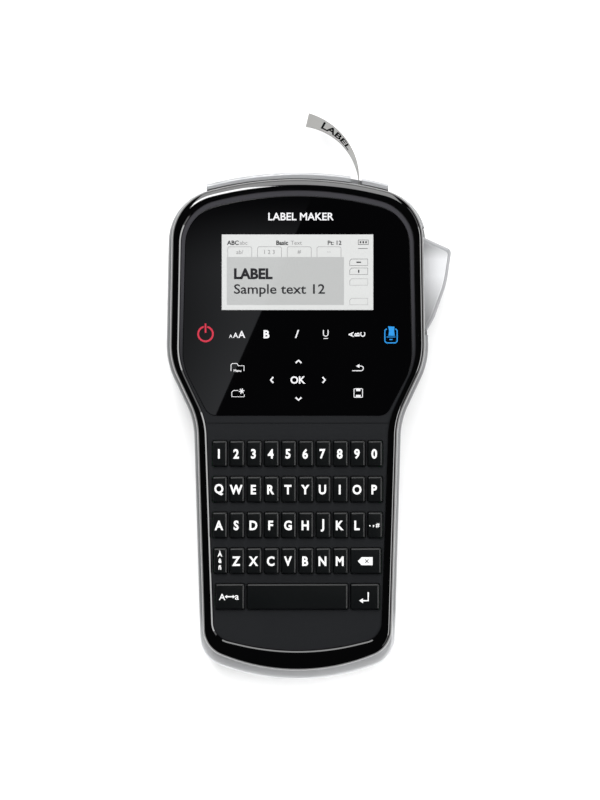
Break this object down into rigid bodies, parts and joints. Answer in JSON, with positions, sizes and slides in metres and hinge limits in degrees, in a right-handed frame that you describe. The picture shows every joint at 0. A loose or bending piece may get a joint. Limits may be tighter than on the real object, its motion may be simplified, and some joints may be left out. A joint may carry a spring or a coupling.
{
  "type": "label maker",
  "caption": "Hand-held label maker with a display window, a lettered keyboard, a side cutter lever and a printed tape curling out of its top.",
  "frame": {"origin": "on the flat back, at the middle of the body", "axes": "+Z out of the front face, +Y along the body towards the tape exit, +X towards the cutter lever"},
  "size_m": [0.1148, 0.2292, 0.0481],
  "materials": {
    "gloss_black": "glossy black",
    "charcoal": "fine matte texture",
    "panel_black": "mirror gloss film with printed symbols",
    "display": "pale grey liquid crystal",
    "silicone": "soft matt",
    "board": "solder resist",
    "silver": "satin metallic paint",
    "steel": "satin",
    "pack": "shrink film",
    "cassette": "moulded",
    "tape": "satin label film",
    "roller": "ground rubber",
    "lever": "satin metallic paint",
    "key": "satin with pale legends"
  },
  "bodies": {
    "housing": {"front_shell": "gloss_black", "keyboard_deck": "charcoal", "front_panel": "panel_black", "display_module": "display", "key_mat": "silicone", "main_board": "board", "rear_shell": "silver", "case_screws": "steel", "battery_pack": "pack", "tape_cassette": "cassette", "label_tape": "tape", "print_mechanism": "steel"},
    "battery_cover": {"battery_cover": "silver"},
    "cassette_door": {"cassette_door": "silver"},
    "cutter_lever": {"cutter_lever": "lever"},
    "cutter_blade": {"cutter_blade": "steel"},
    "feed_roller": {"feed_roller": "roller"},
    "motor_pinion": {"motor_pinion": "steel"},
    "key_1": {"key_1": "key"},
    "key_2": {"key_2": "key"},
    "key_3": {"key_3": "key"},
    "key_4": {"key_4": "key"},
    "key_5": {"key_5": "key"},
    "key_6": {"key_6": "key"},
    "key_7": {"key_7": "key"},
    "key_8": {"key_8": "key"},
    "key_9": {"key_9": "key"},
    "key_0": {"key_0": "key"},
    "key_q": {"key_q": "key"},
    "key_w": {"key_w": "key"},
    "key_e": {"key_e": "key"},
    "key_r": {"key_r": "key"},
    "key_t": {"key_t": "key"},
    "key_y": {"key_y": "key"},
    "key_u": {"key_u": "key"},
    "key_i": {"key_i": "key"},
    "key_o": {"key_o": "key"},
    "key_p": {"key_p": "key"},
    "key_a": {"key_a": "key"},
    "key_s": {"key_s": "key"},
    "key_d": {"key_d": "key"},
    "key_f": {"key_f": "key"},
    "key_g": {"key_g": "key"},
    "key_h": {"key_h": "key"},
    "key_j": {"key_j": "key"},
    "key_k": {"key_k": "key"},
    "key_l": {"key_l": "key"},
    "key_point": {"key_point": "key"},
    "key_accent": {"key_accent": "key"},
    "key_z": {"key_z": "key"},
    "key_x": {"key_x": "key"},
    "key_c": {"key_c": "key"},
    "key_v": {"key_v": "key"},
    "key_b": {"key_b": "key"},
    "key_n": {"key_n": "key"},
    "key_m": {"key_m": "key"},
    "key_backspace": {"key_backspace": "key"},
    "key_shift": {"key_shift": "key"},
    "key_space": {"key_space": "key"},
    "key_enter": {"key_enter": "key"}
  },
  "joints": [
    {"name": "battery_cover_slide", "type": "slide", "parent": "housing", "child": "battery_cover", "axis": [0, -1, 0], "range_m": [0, 0.07]},
    {"name": "cassette_door_hinge", "type": "hinge", "parent": "housing", "child": "cassette_door", "pos_m": [0, 0.0253, 0.0013], "axis": [-1, 0, 0], "range_deg": [0, 100]},
    {"name": "cutter_lever_press", "type": "hinge", "parent": "housing", "child": "cutter_lever", "pos_m": [0.047, 0.042, 0.019], "axis": [0, 0, 1], "range_deg": [0, 9], "stiffness_Nm_per_rad": 0.15, "springref_deg": -11.46},
    {"name": "feed_roller_spin", "type": "hinge", "parent": "housing", "child": "feed_roller", "pos_m": [0.0293, 0.077, 0.016], "axis": [0, 0, 1], "continuous": true},
    {"name": "cutter_blade_slide", "type": "slide", "parent": "housing", "child": "cutter_blade", "axis": [-1, 0, 0], "range_m": [0, 0.0075]},
    {"name": "motor_pinion_spin", "type": "hinge", "parent": "housing", "child": "motor_pinion", "pos_m": [0.02287, 0.07057, 0.027], "axis": [0, 0, 1], "continuous": true},
    {"name": "key_1_press", "type": "slide", "parent": "housing", "child": "key_1", "axis": [0, 0, -1], "range_m": [0, 0.001], "stiffness_N_per_m": 400, "springref_m": -0.0005},
    {"name": "key_2_press", "type": "slide", "parent": "housing", "child": "key_2", "axis": [0, 0, -1], "range_m": [0, 0.001], "stiffness_N_per_m": 400, "springref_m": -0.0005},
    {"name": "key_3_press", "type": "slide", "parent": "housing", "child": "key_3", "axis": [0, 0, -1], "range_m": [0, 0.001], "stiffness_N_per_m": 400, "springref_m": -0.0005},
    {"name": "key_4_press", "type": "slide", "parent": "housing", "child": "key_4", "axis": [0, 0, -1], "range_m": [0, 0.001], "stiffness_N_per_m": 400, "springref_m": -0.0005},
    {"name": "key_5_press", "type": "slide", "parent": "housing", "child": "key_5", "axis": [0, 0, -1], "range_m": [0, 0.001], "stiffness_N_per_m": 400, "springref_m": -0.0005},
    {"name": "key_6_press", "type": "slide", "parent": "housing", "child": "key_6", "axis": [0, 0, -1], "range_m": [0, 0.001], "stiffness_N_per_m": 400, "springref_m": -0.0005},
    {"name": "key_7_press", "type": "slide", "parent": "housing", "child": "key_7", "axis": [0, 0, -1], "range_m": [0, 0.001], "stiffness_N_per_m": 400, "springref_m": -0.0005},
    {"name": "key_8_press", "type": "slide", "parent": "housing", "child": "key_8", "axis": [0, 0, -1], "range_m": [0, 0.001], "stiffness_N_per_m": 400, "springref_m": -0.0005},
    {"name": "key_9_press", "type": "slide", "parent": "housing", "child": "key_9", "axis": [0, 0, -1], "range_m": [0, 0.001], "stiffness_N_per_m": 400, "springref_m": -0.0005},
    {"name": "key_0_press", "type": "slide", "parent": "housing", "child": "key_0", "axis": [0, 0, -1], "range_m": [0, 0.001], "stiffness_N_per_m": 400, "springref_m": -0.0005},
    {"name": "key_q_press", "type": "slide", "parent": "housing", "child": "key_q", "axis": [0, 0, -1], "range_m": [0, 0.001], "stiffness_N_per_m": 400, "springref_m": -0.0005},
    {"name": "key_w_press", "type": "slide", "parent": "housing", "child": "key_w", "axis": [0, 0, -1], "range_m": [0, 0.001], "stiffness_N_per_m": 400, "springref_m": -0.0005},
    {"name": "key_e_press", "type": "slide", "parent": "housing", "child": "key_e", "axis": [0, 0, -1], "range_m": [0, 0.001], "stiffness_N_per_m": 400, "springref_m": -0.0005},
    {"name": "key_r_press", "type": "slide", "parent": "housing", "child": "key_r", "axis": [0, 0, -1], "range_m": [0, 0.001], "stiffness_N_per_m": 400, "springref_m": -0.0005},
    {"name": "key_t_press", "type": "slide", "parent": "housing", "child": "key_t", "axis": [0, 0, -1], "range_m": [0, 0.001], "stiffness_N_per_m": 400, "springref_m": -0.0005},
    {"name": "key_y_press", "type": "slide", "parent": "housing", "child": "key_y", "axis": [0, 0, -1], "range_m": [0, 0.001], "stiffness_N_per_m": 400, "springref_m": -0.0005},
    {"name": "key_u_press", "type": "slide", "parent": "housing", "child": "key_u", "axis": [0, 0, -1], "range_m": [0, 0.001], "stiffness_N_per_m": 400, "springref_m": -0.0005},
    {"name": "key_i_press", "type": "slide", "parent": "housing", "child": "key_i", "axis": [0, 0, -1], "range_m": [0, 0.001], "stiffness_N_per_m": 400, "springref_m": -0.0005},
    {"name": "key_o_press", "type": "slide", "parent": "housing", "child": "key_o", "axis": [0, 0, -1], "range_m": [0, 0.001], "stiffness_N_per_m": 400, "springref_m": -0.0005},
    {"name": "key_p_press", "type": "slide", "parent": "housing", "child": "key_p", "axis": [0, 0, -1], "range_m": [0, 0.001], "stiffness_N_per_m": 400, "springref_m": -0.0005},
    {"name": "key_a_press", "type": "slide", "parent": "housing", "child": "key_a", "axis": [0, 0, -1], "range_m": [0, 0.001], "stiffness_N_per_m": 400, "springref_m": -0.0005},
    {"name": "key_s_press", "type": "slide", "parent": "housing", "child": "key_s", "axis": [0, 0, -1], "range_m": [0, 0.001], "stiffness_N_per_m": 400, "springref_m": -0.0005},
    {"name": "key_d_press", "type": "slide", "parent": "housing", "child": "key_d", "axis": [0, 0, -1], "range_m": [0, 0.001], "stiffness_N_per_m": 400, "springref_m": -0.0005},
    {"name": "key_f_press", "type": "slide", "parent": "housing", "child": "key_f", "axis": [0, 0, -1], "range_m": [0, 0.001], "stiffness_N_per_m": 400, "springref_m": -0.0005},
    {"name": "key_g_press", "type": "slide", "parent": "housing", "child": "key_g", "axis": [0, 0, -1], "range_m": [0, 0.001], "stiffness_N_per_m": 400, "springref_m": -0.0005},
    {"name": "key_h_press", "type": "slide", "parent": "housing", "child": "key_h", "axis": [0, 0, -1], "range_m": [0, 0.001], "stiffness_N_per_m": 400, "springref_m": -0.0005},
    {"name": "key_j_press", "type": "slide", "parent": "housing", "child": "key_j", "axis": [0, 0, -1], "range_m": [0, 0.001], "stiffness_N_per_m": 400, "springref_m": -0.0005},
    {"name": "key_k_press", "type": "slide", "parent": "housing", "child": "key_k", "axis": [0, 0, -1], "range_m": [0, 0.001], "stiffness_N_per_m": 400, "springref_m": -0.0005},
    {"name": "key_l_press", "type": "slide", "parent": "housing", "child": "key_l", "axis": [0, 0, -1], "range_m": [0, 0.001], "stiffness_N_per_m": 400, "springref_m": -0.0005},
    {"name": "key_point_press", "type": "slide", "parent": "housing", "child": "key_point", "axis": [0, 0, -1], "range_m": [0, 0.001], "stiffness_N_per_m": 400, "springref_m": -0.0005},
    {"name": "key_accent_press", "type": "slide", "parent": "housing", "child": "key_accent", "axis": [0, 0, -1], "range_m": [0, 0.001], "stiffness_N_per_m": 400, "springref_m": -0.0005},
    {"name": "key_z_press", "type": "slide", "parent": "housing", "child": "key_z", "axis": [0, 0, -1], "range_m": [0, 0.001], "stiffness_N_per_m": 400, "springref_m": -0.0005},
    {"name": "key_x_press", "type": "slide", "parent": "housing", "child": "key_x", "axis": [0, 0, -1], "range_m": [0, 0.001], "stiffness_N_per_m": 400, "springref_m": -0.0005},
    {"name": "key_c_press", "type": "slide", "parent": "housing", "child": "key_c", "axis": [0, 0, -1], "range_m": [0, 0.001], "stiffness_N_per_m": 400, "springref_m": -0.0005},
    {"name": "key_v_press", "type": "slide", "parent": "housing", "child": "key_v", "axis": [0, 0, -1], "range_m": [0, 0.001], "stiffness_N_per_m": 400, "springref_m": -0.0005},
    {"name": "key_b_press", "type": "slide", "parent": "housing", "child": "key_b", "axis": [0, 0, -1], "range_m": [0, 0.001], "stiffness_N_per_m": 400, "springref_m": -0.0005},
    {"name": "key_n_press", "type": "slide", "parent": "housing", "child": "key_n", "axis": [0, 0, -1], "range_m": [0, 0.001], "stiffness_N_per_m": 400, "springref_m": -0.0005},
    {"name": "key_m_press", "type": "slide", "parent": "housing", "child": "key_m", "axis": [0, 0, -1], "range_m": [0, 0.001], "stiffness_N_per_m": 400, "springref_m": -0.0005},
    {"name": "key_backspace_press", "type": "slide", "parent": "housing", "child": "key_backspace", "axis": [0, 0, -1], "range_m": [0, 0.001], "stiffness_N_per_m": 600, "springref_m": -0.0005},
    {"name": "key_shift_press", "type": "slide", "parent": "housing", "child": "key_shift", "axis": [0, 0, -1], "range_m": [0, 0.001], "stiffness_N_per_m": 600, "springref_m": -0.0005},
    {"name": "key_space_press", "type": "slide", "parent": "housing", "child": "key_space", "axis": [0, 0, -1], "range_m": [0, 0.001], "stiffness_N_per_m": 1200, "springref_m": -0.0005},
    {"name": "key_enter_press", "type": "slide", "parent": "housing", "child": "key_enter", "axis": [0, 0, -1], "range_m": [0, 0.001], "stiffness_N_per_m": 600, "springref_m": -0.0005}
  ],
  "couplings": [
    {"joint": "cutter_blade_slide", "follows": "cutter_lever_press", "m_per_rad": 0.046},
    {"joint": "motor_pinion_spin", "follows": "feed_roller_spin", "ratio": -2}
  ]
}
